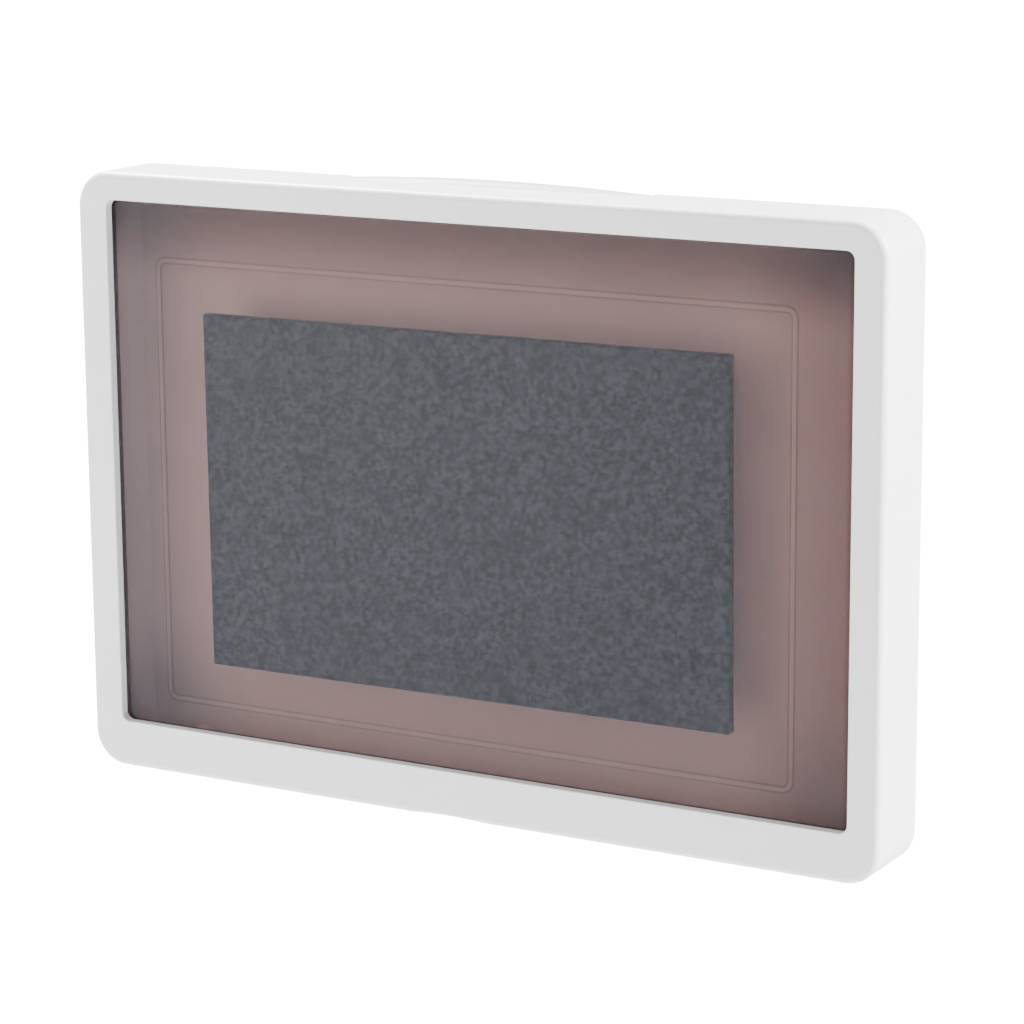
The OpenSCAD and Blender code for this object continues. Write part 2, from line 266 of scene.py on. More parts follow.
@dataclass(frozen=True)
class Moulding:
    """Satin moulded plastic with a fine sparked grain and a trace of shade variation."""

    name: str  # the material's name
    colour: Colour  # its lightest shade
    rough: float = 0.38  # its usual roughness
    grain_mm: float = 0.35  # width of the sparked grain
    grain_height_mm: float = 0.004  # height of the grain
    shade: float = 0.97  # its darkest shade, over the lightest
    shade_mm: float = 28  # width of the patches of shade
    ripple_mm: float = 5  # width of the mould's slow ripple
    ripple_height_mm: float = 0.006  # height of the ripple
    polish_mm: float = 2.5  # width of the duller and shinier patches

    def make(self) -> Material:
        """Makes the material."""
        s = Sockets(self.name)
        tone = s.ramp(s.cloud(self.shade_mm, 2), darkened(self.colour, self.shade), self.colour)
        ripple = s.bump(s.cloud(self.ripple_mm, 1), self.ripple_height_mm)
        grain = s.bump(s.cloud(self.grain_mm, 2), self.grain_height_mm, under=ripple)
        polish = s.between(s.cloud(self.polish_mm, 3), self.rough - 0.03, self.rough + 0.04)
        return s.done(s.surface(tone, grain, polish))


@dataclass(frozen=True)
class PaintedShadeEdge:
    """One side of the film, where painted shade deepens its tint towards the window's edge."""

    axis: int  # 0 for a side that stands at one X, 2 for one that stands at one Z
    edge_mm: float  # where the deepest tint is
    clear_mm: float  # where the deepening ends
    tint: Colour  # the deepest tint, over the film's own


@dataclass(frozen=True)
class TintedFilm:
    """Thin translucent film: it tints what is behind it and adds a soft milky shade. Painted shade
    can darken its tint towards its sides.
    """

    name: str  # the material's name
    tint: Colour  # what it lets through
    milk: Colour  # the colour of its milky shade
    milkiness: float = 0.1  # how much of that shade shows
    rough: float = 0.3  # its roughness
    edges: tuple[PaintedShadeEdge, ...] = ()  # its deepened sides
    mottle: float = 0.985  # the tint of its darker patches, over the tint
    mottle_mm: float = 22  # width of those patches
    haze: float = 0.94  # the milky shade's darker patches, over the milk
    haze_mm: float = 14  # width of those patches
    slack_mm: float = 45  # width of the film's slow waves
    slack_height_mm: float = 0.02  # height of the waves

    def shaded_tint(self, s: Sockets) -> Socket:
        """The film's tint, with painted shade darkening it towards its sides.

        Args:
            s: the material's nodes.

        Returns:
            The tint.
        """
        parts = s.add("SeparateXYZ")
        s.link(s.place, parts.inputs[0])
        colour = s.ramp(s.cloud(self.mottle_mm, 2), darkened(self.tint, self.mottle), self.tint)
        # each side multiplies the tint by its painted shade, which stands in for the shadow inside
        # the box
        for side in self.edges:
            fade = s.add("MapRange", From_Min=side.edge_mm * MM, From_Max=side.clear_mm * MM)
            fade.interpolation_type = "SMOOTHSTEP"
            s.link(parts.outputs[side.axis], fade.inputs["Value"])
            shade_of = s.ramp(fade.outputs["Result"], side.tint, (1.0, 1.0, 1.0), 0.0, 1.0)
            both = s.add("MixRGB", Fac=1)
            both.blend_type = "MULTIPLY"
            s.link(colour, both.inputs["Color1"])
            s.link(shade_of, both.inputs["Color2"])
            colour = both.outputs["Color"]
        return colour

    def make(self) -> Material:
        """Makes the material."""
        s = Sockets(self.name)
        haze = s.ramp(s.cloud(self.haze_mm, 3), darkened(self.milk, self.haze), self.milk)
        slack = s.bump(s.cloud(self.slack_mm, 1), self.slack_height_mm)
        body = s.surface(haze, slack, self.rough)
        clear = s.add("BsdfTransparent")
        s.link(self.shaded_tint(s), clear.inputs["Color"])
        mix = s.add("MixShader", Fac=self.milkiness)
        s.link(clear.outputs[0], mix.inputs[1])
        s.link(body.outputs[0], mix.inputs[2])
        return s.done(mix)


# Painted shade on the film's sides: it darkens what shows through the film near the window's edges,
# standing in for the shadow that the cover's borders and walls cast inside the box. It is deepest
# at the top and has a narrow reddish band on the right.
FILM_PAINTED_SHADE = (
    PaintedShadeEdge(0, -94.5, -76, (0.92, 0.95, 0.98)),
    PaintedShadeEdge(0, 95.5, 62, (0.78, 0.75, 0.74)),
    PaintedShadeEdge(0, 95.4, 92, (0.80, 0.62, 0.58)),
    PaintedShadeEdge(2, 65.5, 45, (0.63, 0.60, 0.59)),
)


@dataclass(frozen=True)
class FeltedFoam:
    """Dense cut foam with a napped, mottled face."""

    name: str  # the material's name
    dark: Colour  # colour of its dark blots
    light: Colour  # colour of its light blots
    blot_mm: float = 1.5  # width of the blots
    lift_mm: float = 6  # width of its slow unevenness
    lift_height_mm: float = 0.05  # height of the unevenness
    pore_mm: float = 0.4  # width of a cell
    pore_height_mm: float = 0.012  # depth of a cell
    nap_mm: float = 0.3  # width of the nap's tufts
    nap_height_mm: float = 0.008  # height of the nap
    rough: float = 0.93  # its roughness
    specular: float = 0.15  # its specular level

    def make(self) -> Material:
        """Makes the material."""
        s = Sockets(self.name)
        blots = s.ramp(s.cloud(self.blot_mm, 5, 0.76), self.dark, self.light, 0.42, 0.58)
        lift = s.bump(s.cloud(self.lift_mm, 2, 0.6), self.lift_height_mm)
        pores = s.bump(s.cells(self.pore_mm), self.pore_height_mm, 0.8, under=lift)
        nap = s.bump(s.cloud(self.nap_mm, 2), self.nap_height_mm, under=pores)
        sheen = {"Sheen_Weight": 0.04, "Sheen_Roughness": 0.5, "Specular_IOR_Level": self.specular}
        return s.done(s.surface(blots, nap, self.rough, **sheen))


@dataclass(frozen=True)
class Rubber:
    """Matt elastomer or tape with a dusty, slightly uneven face."""

    name: str  # the material's name
    colour: Colour  # its lightest shade
    rough: float = 0.7  # its usual roughness
    speck: float = 0.75  # the shade of its specks, over the colour
    speck_mm: float = 1.8  # width of the specks
    pore_mm: float = 0.5  # width of its pits
    pore_height_mm: float = 0.02  # depth of the pits

    def make(self) -> Material:
        """Makes the material."""
        s = Sockets(self.name)
        dark = darkened(self.colour, self.speck)
        tone = s.ramp(s.cloud(self.speck_mm, 4, 0.6), dark, self.colour)
        normal = s.bump(s.cells(self.pore_mm), self.pore_height_mm, 0.7)
        dust = s.between(s.cloud(3), self.rough - 0.05, self.rough + 0.08)
        return s.done(s.surface(tone, normal, dust))


class Lay(Enum):
    """Which way a metal's fine scratches run, as how fine they are along each axis."""

    ALONG_X = (40.0, 900.0, 900.0)
    ROUND = (500.0, 60.0, 500.0)


@dataclass(frozen=True)
class Metal:
    """Machined or plated metal with fine scratches."""

    name: str  # the material's name
    colour: Colour  # its lightest shade
    rough: float = 0.28  # its usual roughness
    lay: Lay = Lay.ROUND  # which way its scratches run
    scratch: float = 0.88  # the shade of the scratches, over the colour
    scratch_height_mm: float = 0.004  # depth of the scratches

    def make(self) -> Material:
        """Makes the material."""
        s = Sockets(self.name)
        scratches = s.cloud(1000, 3, 0.6, s.stretched(*self.lay.value))
        tone = s.ramp(scratches, darkened(self.colour, self.scratch), self.colour)
        normal = s.bump(scratches, self.scratch_height_mm)
        rough = s.between(s.cloud(1.5, 4), self.rough - 0.06, self.rough + 0.1)
        return s.done(s.surface(tone, normal, rough, Metallic=1.0))


class Finish(Enum):
    """The object's finishes, by the record's slot names."""

    COVER = ("cover_white", Moulding("satin_cover", (0.80, 0.80, 0.805)))
    TRAY = ("tray_white", Moulding("satin_tray", (0.65, 0.645, 0.64), 0.45, 0.5, 0.0012))
    # the hinge barrel: the tray's plastic, coloured darker as painted shade for the shade the
    # barrel sits in
    BARREL = ("tray_white", Moulding("satin_barrel_painted_shade", (0.5, 0.498, 0.495), 0.45, 0.5, 0.0012))
    FILM = (
        "tinted_film",
        TintedFilm("mauve_film", (0.855, 0.745, 0.725), (0.14, 0.165, 0.2), 0.12, edges=FILM_PAINTED_SHADE),
    )
    # the film on the raised outline's flanks, darker as painted shade
    BEAD_OUT = (
        "tinted_film",
        TintedFilm(
            "mauve_bead_painted_shade", (0.71, 0.61, 0.595), (0.12, 0.14, 0.17), 0.12, 0.2, FILM_PAINTED_SHADE
        ),
    )
    # the film on the raised outline's crest, lighter as a painted highlight
    BEAD_IN = (
        "tinted_film",
        TintedFilm("mauve_bead_painted_highlight", (0.9, 0.79, 0.77), (0.2, 0.22, 0.25), 0.13, 0.2, FILM_PAINTED_SHADE),
    )
    FRAME = ("frame_grey", Moulding("grey_frame", (0.16, 0.165, 0.18), 0.5))
    TAPE = ("black_tape", Rubber("black_tape", (0.03, 0.03, 0.032)))
    SEAL = ("seal_rubber", Rubber("seal_rubber", (0.045, 0.045, 0.05), 0.55))
    FOAM = ("foam", FeltedFoam("slate_foam", (0.006, 0.015, 0.021), (0.043, 0.082, 0.102)))
    PAD_TAPE = ("pad_tape", Rubber("pad_tape", (0.68, 0.66, 0.6), 0.6, 0.92))
    STEEL = ("steel", Metal("machined_steel", (0.6, 0.6, 0.62)))
    NICKEL = ("magnet", Metal("nickel_plate", (0.66, 0.63, 0.58), 0.18))
    BUSH = ("bush", Metal("turned_brass", (0.74, 0.54, 0.25), 0.3, Lay.ALONG_X))
    MOUNT = ("mount_grey", Moulding("mount_grey", (0.66, 0.665, 0.68), 0.5, 0.5, 0.012))
    ADHESIVE = ("adhesive", Rubber("adhesive_foam", (0.74, 0.75, 0.74), 0.75, 0.9))

    @property
    def slot(self) -> str:
        """The record's slot name."""
        return self.value[0]

    @property
    def material(self) -> Material:
        """The material, made on first use."""
        look = self.value[1]
        return bpy.data.materials.get(look.name) or look.make()


# ---- mesh helpers


SMALLEST_CORNER = 0.05  # millimetres, so that every outline has the same number of points
OUTLINES_APART = 5.0  # millimetres between two outlines while they are joined


@dataclass(frozen=True)
class Outline:
    """A rectangle with round corners in the plane of the front, at one depth. Millimetres."""

    width: float
    height: float
    corner: float
    depth: float
    x: float = 0.0
    z: float = 0.0

    def inset(self, by: float, depth: float) -> "Outline":
        """The same outline drawn in by that much, at another depth."""
        corner = max(self.corner - by, SMALLEST_CORNER)
        return Outline(self.width - 2 * by, self.height - 2 * by, corner, depth, self.x, self.z)

    def at(self, depth: float) -> "Outline":
        """The same outline at another depth."""
        return self.inset(0, depth)

    def draw(self, bm: Mesh, segments: int = 10) -> Edges:
        """Draws the outline as a closed loop of edges.

        Args:
            bm: the mesh to draw in.
            segments: edges in each round corner.

        Returns:
            The loop's edges.
        """
        made = bmesh.ops.create_grid(bm, x_segments=1, y_segments=1, size=0.5)["verts"]
        span = max(v.co.x for v in made) - min(v.co.x for v in made)
        bmesh.ops.scale(bm, verts=made, vec=(self.width * MM / span, self.height * MM / span, 1))
        bmesh.ops.bevel(
            bm,
            geom=made,
            offset=self.corner * MM,
            offset_type="OFFSET",
            segments=segments,
            profile=0.5,
            affect="VERTICES",
            material=-1,
        )
        points = 4 * (segments + 1)
        face = max((f for f in bm.faces if len(f.verts) == points), key=lambda f: f.index)
        place = Matrix.Translation((self.x * MM, -self.depth * MM, self.z * MM))
        upright = Matrix.Rotation(math.radians(90), 4, "X")
        bmesh.ops.transform(bm, matrix=place @ upright, verts=list(face.verts))
        loop = list(face.edges)
        bmesh.ops.delete(bm, geom=[face], context="FACES_ONLY")
        return loop


def rounded(
    outline: Outline, radius: float, towards: float, inwards: bool = True, steps: int = 5
) -> list[Outline]:
    """Outlines that carry an edge rounding from one depth to the next.

    Args:
        outline: the outline where the rounding starts.
        radius: its radius.
        towards: 1 if it runs towards the front, -1 towards the wall.
        inwards: True if it ends with the outline drawn in, False if it starts as a flat rim
            and ends on the side wall.
        steps: how many outlines to give.

    Returns:
        The outlines after the first.
    """
    found = []
    for k in range(1, steps + 1):
        turn = math.radians(90 * k / steps)
        if inwards:
            by, run = radius * (1 - math.cos(turn)), radius * math.sin(turn)
        else:
            by, run = -radius * math.sin(turn), radius * (1 - math.cos(turn))
        found.append(outline.inset(by, outline.depth + towards * run))
    return found


def bridge(
    bm: Mesh, outlines: list[Outline], closed: bool = False, looks: list[int] | None = None
) -> list[Edges]:
    """Skins a list of outlines, each to the next.

    The outlines are drawn in steps along the depth, so that none share a plane while they are
    joined, and each then moves to its own depth.

    Args:
        bm: the mesh to draw in.
        outlines: the outlines in order.
        closed: True to skin the last to the first too.
        looks: the material number of each skin, or None for the first material all over.

    Returns:
        Each outline's loop of edges.
    """
    loops = [o.at(k * OUTLINES_APART).draw(bm) for k, o in enumerate(outlines)]
    pairs = list(zip(loops, loops[1:]))
    if closed:
        pairs.append((loops[-1], loops[0]))
    for k, (a, b) in enumerate(pairs):
        for face in bmesh.ops.bridge_loops(bm, edges=a + b)["faces"]:
            face.material_index = looks[k] if looks else 0
    for k, (outline, loop) in enumerate(zip(outlines, loops)):
        verts = list({v for edge in loop for v in edge.verts})
        move = (k * OUTLINES_APART - outline.depth) * MM
        bmesh.ops.translate(bm, verts=verts, vec=(0, move, 0))
    return loops


def finished(bm: Mesh, name: str) -> Piece:
    """Turns a bmesh into a smooth-shaded object at the origin with outward faces.

    Args:
        bm: the mesh, which is freed.
        name: the piece's name.

    Returns:
        The new object.
    """
    bmesh.ops.remove_doubles(bm, verts=bm.verts, dist=MERGE)
    bmesh.ops.recalc_face_normals(bm, faces=bm.faces)
    mesh = bpy.data.meshes.new(name)
    bm.to_mesh(mesh)
    bm.free()
    piece = bpy.data.objects.new(name, mesh)
    bpy.context.scene.collection.objects.link(piece)
    shade(piece)
    return piece


def shade(piece: Piece, angle: float = SHARP_ANGLE) -> None:
    """Shades a piece smooth.

    Args:
        piece: the piece.
        angle: edges sharper than this stay sharp.
    """
    for face in piece.data.polygons:
        face.use_smooth = True
    piece.data.set_sharp_from_angle(angle=angle)


def even_normals(piece: Piece) -> None:
    """Weighs normals by face size, so that flat faces look flat.

    Args:
        piece: the piece.
    """
    modifier = piece.modifiers.new("even_normals", "WEIGHTED_NORMAL")
    modifier.keep_sharp = True
    modifier.weight = 80


def baked(piece: Piece) -> None:
    """Applies a piece's modifiers to its mesh.

    Args:
        piece: the piece.
    """
    graph = bpy.context.evaluated_depsgraph_get()
    mesh = bpy.data.meshes.new_from_object(piece.evaluated_get(graph))
    piece.modifiers.clear()
    old = piece.data
    piece.data = mesh
    bpy.data.meshes.remove(old)


def carve(piece: Piece, tool: Piece, operation: str = "DIFFERENCE") -> None:
    """Cuts a tool's shape out of a piece, or joins it on, and removes the tool.

    Args:
        piece: the piece.
        tool: the shape to cut out or join on.
        operation: DIFFERENCE to cut, UNION to join.
    """
    modifier = piece.modifiers.new("carve", "BOOLEAN")
    modifier.operation = operation
    modifier.solver = "EXACT"
    modifier.object = tool
    bpy.context.view_layer.update()
    baked(piece)
    bpy.data.objects.remove(tool, do_unlink=True)


def add_rod(bm: Mesh, start: Vector, end: Vector, radius: float, sides: int = 48) -> None:
    """Adds a capped rod between two points in millimetres.

    Args:
        bm: the mesh to draw in.
        start: where it starts.
        end: where it ends.
        radius: its radius.
        sides: how many sides it has.
    """
    run = end - start
    turn = run.to_track_quat("Z", "Y").to_matrix().to_4x4()
    bmesh.ops.create_cone(
        bm,
        cap_ends=True,
        segments=sides,
        radius1=radius * MM,
        radius2=radius * MM,
        depth=run.length * MM,
        matrix=Matrix.Translation((start + end) / 2 * MM) @ turn,
    )


def dressed(piece: Piece, finish: Finish, body: str, replaces: str) -> Piece:
    """Gives a piece its material and body.

    Args:
        piece: the piece.
        finish: its finish.
        body: the CAD body that it rides on.
        replaces: the CAD node that it stands for.

    Returns:
        The piece.
    """
    piece.data.materials.append(finish.material)
    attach(piece, body)
    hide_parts(replaces)
    log.info("%s: %d faces on %s", piece.name, len(piece.data.polygons), body)
    return piece


def softened(node: str, finish: Finish, body: str, edge_mm: float) -> Piece:
    """A copy of a CAD node with small rounded edges, as a mould or cutter leaves.

    Args:
        node: the CAD node.
        finish: its finish.
        body: the CAD body that it rides on.
        edge_mm: width of the rounding.

    Returns:
        The piece.
    """
    bm = bmesh.new()
    bm.from_mesh(frame["nodes"][node].data)
    bmesh.ops.remove_doubles(bm, verts=bm.verts, dist=COPY_MERGE)
    bmesh.ops.dissolve_limit(bm, angle_limit=FLAT_ANGLE, verts=bm.verts, edges=bm.edges)
    mesh = bpy.data.meshes.new(node + "_soft")
    bm.to_mesh(mesh)
    bm.free()
    piece = bpy.data.objects.new(node + "_soft", mesh)
    bpy.context.scene.collection.objects.link(piece)
    modifier = piece.modifiers.new("edges", "BEVEL")
    modifier.width = edge_mm * MM
    modifier.segments = 2
    modifier.limit_method = "ANGLE"
    modifier.angle_limit = CORNER_ANGLE
    modifier.use_clamp_overlap = True
    bpy.context.view_layer.update()
    baked(piece)
    shade(piece)
    even_normals(piece)
    return dressed(piece, finish, body, node)


def keep_node(node: str, finish: Finish) -> None:
    """Gives a CAD node that stays as it is its material.

    Args:
        node: the CAD node.
        finish: its finish.
    """
    obj = frame["nodes"][node]
    obj.data.materials.clear()
    obj.data.materials.append(finish.material)
    log.info("%s: kept from the frame", node)


def depth_of(node: str, front: bool) -> float:
    """The depth in millimetres of a CAD node's front or back."""
    low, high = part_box(node)
    return -(low.y if front else high.y) / MM


# ---- the cover


@dataclass
class Cover:
    """The deep frame that flips up, with its film, film frame and hinge ears. Millimetres."""

    corner: float = 8.3  # radius of its outer corners
    wall: float = 2.2  # thickness of its side walls
    face: float = 3.0  # thickness of its front plate
    edge: float = 1.6  # radius of its front edge
    rim_edge: float = 0.3  # radius of its rear rim's edges
    mouth_edge: float = 0.3  # radius of the window's edge
    # widths of the front plate at the left, right, top and bottom
    borders: tuple[float, float, float, float] = (8.3, 7.5, 6.5, 11.3)
    window_corner: float = 2.0  # radius of the window's corners
    film_lap: float = 1.8  # how far the film runs on behind the plate
    film_fit: float = 0.2  # the gap round the film
    film_tape: float = 0.4  # thickness of the tape between the plate and the film
    film: float = 0.4  # thickness of the film
    frame: float = 1.2  # thickness of the film frame
    frame_screw: tuple[float, float] = (0.6, 1.2)  # radii of a frame screw's shank and head
    hinge_inset: float = 3.0  # distance of the hinge's axis from the cover's top and rear
    barrel_half: float = 39.0  # half the length of the tray's hinge barrel
    barrel_mid: float = 4.2  # the barrel's radius at its middle
    barrel_end: float = 3.0  # its radius at its ends
    barrel_gap: float = 0.35  # the gap round it
    ear: float = 6.0  # length of a hinge ear
    ear_radius: float = 2.8  # radius of an ear
    bush_radius: float = 1.6  # radius of the bore for a bush
    # the finger notch's width, depth, length from the front and place in X
    notch: tuple[float, float, float, float] = (22.0, 0.8, 9.0, -4.0)
    # width, height and corner radius of the film's raised outline
    bead: tuple[float, float, float] = (164.0, 106.5, 3.0)
    bead_place: tuple[float, float] = (-0.5, -0.9)  # the outline's middle, in X and Z
    bead_width: float = 1.8  # how wide the outline is
    bead_rise: float = 0.2  # how high it stands
    body: str = "cover"  # the CAD body that it all rides on

    def __post_init__(self) -> None:
        """Reads the overall sizes from the frame."""
        low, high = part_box("front_cover")
        self.width, self.height = (high.x - low.x) / MM, (high.z - low.z) / MM
        self.rear, self.front = -high.y / MM, -low.y / MM
        self.outside = Outline(self.width, self.height, self.corner, self.rear)
        self.inside = self.outside.inset(self.wall, self.rear)
        left, right, top, bottom = self.borders
        self.window = Outline(
            self.width - left - right,
            self.height - top - bottom,
            self.window_corner,
            self.front,
            (left - right) / 2,
            (bottom - top) / 2,
        )
        self.plate_back = self.front - self.face
        self.frame_back = self.plate_back - self.frame
        self.film_front = self.plate_back + self.film
        self.seat = self.film_front + self.film_tape
        self.axis = Vector((0, -(self.rear + self.hinge_inset), self.height / 2 - self.hinge_inset))

    def build(self) -> None:
        """Builds every piece of the cover."""
        self.make_shell()
        self.make_film()
        softened("film_frame", Finish.FRAME, self.body, 0.15)
        softened("hinge_bushes", Finish.BUSH, self.body, 0.12)
        node = "frame_screws"
        tip, head = depth_of(node, True), depth_of(node, False)
        places = self.frame_screw_places()
        depths = (tip, self.frame_back, head)
        Screws(node, self.body, places, *depths, *self.frame_screw, turns=4).build()
        keep_node("film_tape", Finish.TAPE)
        keep_node("cover_magnets", Finish.NICKEL)

    def frame_screw_places(self) -> list[tuple[float, float]]:
        """Where the nine screws of the film frame sit: three on each side, three below."""
        left, right, _, bottom = self.borders
        lap = self.film_lap + self.film_fit
        west = -(self.width - self.wall - left + lap) / 2
        east = (self.width - self.wall - right + lap) / 2
        south = -(self.height - self.wall - bottom + lap) / 2
        rows = [k * self.height for k in (-0.33, 0.04, 0.38)]
        return (
            [(west, z) for z in rows]
            + [(east, z) for z in rows]
            + [(k * self.width, south) for k in (-0.22, 0.0, 0.22)]
        )

    def shell_outlines(self) -> list[Outline]:
        """The outlines of the moulding, once round its section."""
        rim = self.outside.inset(self.rim_edge, self.rear)
        outer = rounded(rim, self.rim_edge, 1, inwards=False, steps=3)
        side = self.outside.at(self.front - self.edge)
        front = rounded(side, self.edge, 1, steps=8)
        mouth = self.window.inset(-self.mouth_edge, self.front)
        lip = [
            self.window.inset(
                -self.mouth_edge * (1 - math.sin(math.radians(30 * k))),
                self.front - self.mouth_edge * (1 - math.cos(math.radians(30 * k))),
            )
            for k in range(1, 4)
        ]
        pocket = self.window.inset(-(self.film_lap + self.film_fit), self.seat)
        inner_rim = self.inside.inset(-self.rim_edge, self.rear)
        return [
            rim,
            *outer,
            side,
            *front,
            mouth,
            *lip,
            self.window.at(self.seat),
            pocket,
            pocket.at(self.plate_back),
            self.inside.at(self.plate_back),
            self.inside.at(self.rear + self.rim_edge),
            inner_rim,
        ]

    def crown(self, along: float) -> float:
        """The barrel's radius at a place from -1 to 1 along it."""
        return self.barrel_end + (self.barrel_mid - self.barrel_end) * (1 - along * along)

    def barrel_pocket(self) -> Piece:
        """The tool that cuts the hollow which the barrel turns in."""
        bm = bmesh.new()
        reach = self.barrel_half + self.barrel_gap
        steps = 12
        points = [Vector((-reach, 0, 0))]
        for k in range(-steps, steps + 1):
            points.append(Vector((k / steps * reach, 0, self.crown(k / steps) + self.barrel_gap)))
        points.append(Vector((reach, 0, 0)))
        verts = [bm.verts.new((self.axis + p) * MM) for p in points]
        edges = [bm.edges.new(pair) for pair in zip(verts, verts[1:])]
        bmesh.ops.spin(
            bm,
            geom=verts + edges,
            cent=self.axis * MM,
            axis=(1, 0, 0),
            angle=math.tau,
            steps=64,
            use_merge=True,
        )
        return finished(bm, "barrel_pocket")

    def bores_tool(self) -> Piece:
        """The tool that drills the ears' bores and the magnets' pockets."""
        bm = bmesh.new()
        reach = self.barrel_half + self.barrel_gap + self.ear + 1
        along = Vector((reach, 0, 0))
        add_rod(bm, self.axis - along, self.axis + along, self.bush_radius)
        low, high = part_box("cover_magnets")
        radius = (high.z - low.z) / 2 / MM
        z = (high.z + low.z) / 2 / MM
        back, front = -high.y / MM, -low.y / MM
        for x in (high.x / MM - radius, low.x / MM + radius):
            add_rod(bm, Vector((x, -back + 1, z)), Vector((x, -front, z)), radius)
        return finished(bm, "bores")

    def make_shell(self) -> Piece:
        """Makes the deep frame moulding."""
        bm = bmesh.new()
        bridge(bm, self.shell_outlines(), closed=True)
        piece = finished(bm, "front_cover_shell")
        start = self.barrel_half + self.barrel_gap
        ears = bmesh.new()
        for side in (-1, 1):
            add_rod(
                ears,
                self.axis + Vector((side * start, 0, 0)),
                self.axis + Vector((side * (start + self.ear), 0, 0)),
                self.ear_radius,
            )
        carve(piece, finished(ears, "ears"), "UNION")
        carve(piece, self.barrel_pocket())
        slot = bmesh.new()
        run = self.hinge_inset + 1
        place = Matrix.Translation((self.axis + Vector((0, run / 2, 0))) * MM)
        size = Matrix.Diagonal((2 * start * MM, run * MM, 4 * self.hinge_inset * MM, 1))
        bmesh.ops.create_cube(slot, size=1, matrix=place @ size)
        carve(piece, finished(slot, "rear_slot"))
        carve(piece, self.bores_tool())
        carve(piece, self.notch_tool())
        shade(piece)
        even_normals(piece)
        return dressed(piece, Finish.COVER, self.body, "front_cover")

    def notch_tool(self) -> Piece:
        """The tool that cuts the shallow finger notch under the front edge."""
        wide, deep, run, x = self.notch
        radius = (wide * wide / 4 + deep * deep) / (2 * deep)
        z = -self.height / 2 + deep - radius
        bm = bmesh.new()
        start, end = Vector((x, -(self.front - run), z)), Vector((x, -(self.front + 1), z))
        add_rod(bm, start, end, radius, sides=360)
        return finished(bm, "notch")

    def make_film(self) -> Piece:
        """Makes the tinted film with its raised outline, whose flanks carry painted shade and whose
        crest carries a painted highlight.
        """
        wide, high, corner = self.bead
        edge = self.window.inset(-self.film_lap, self.plate_back)
        foot = Outline(wide, high, corner, self.film_front, *self.bead_place)
        steps = 8
        beads = [
            foot.inset(
                self.bead_width * k / steps,
                self.film_front + self.bead_rise * math.sin(math.pi * k / steps) ** 2,
            )
            for k in range(1, steps + 1)
        ]
        flat = beads[-1].inset(0.3, self.film_front)
        bm = bmesh.new()
        apron = foot.inset(-0.3, self.film_front)
        skin = [edge, edge.at(self.film_front), apron, foot, *beads, flat]
        # skins numbered 1 take the outline's painted shade, those numbered 2 its painted highlight
        looks = [0, 0, 0, 1, 1] + [2] * (steps - 4) + [1, 1, 0]
        loops = bridge(bm, skin, looks=looks)
        bmesh.ops.edgeloop_fill(bm, edges=loops[0])
        bmesh.ops.edgeloop_fill(bm, edges=loops[-1])
        piece = finished(bm, "touch_film_sheet")
        shade(piece, math.radians(60))
        even_normals(piece)
        dressed(piece, Finish.FILM, self.body, "touch_film")
        piece.data.materials.append(Finish.BEAD_OUT.material)
        piece.data.materials.append(Finish.BEAD_IN.material)
        return piece


# ---- screws


RECESS_DEPTH = 0.62  # a drive recess's depth, over its head's height


class Drive(Enum):
    """How a screw is driven."""

    CROSS = "cross"
    HEX = "hex"


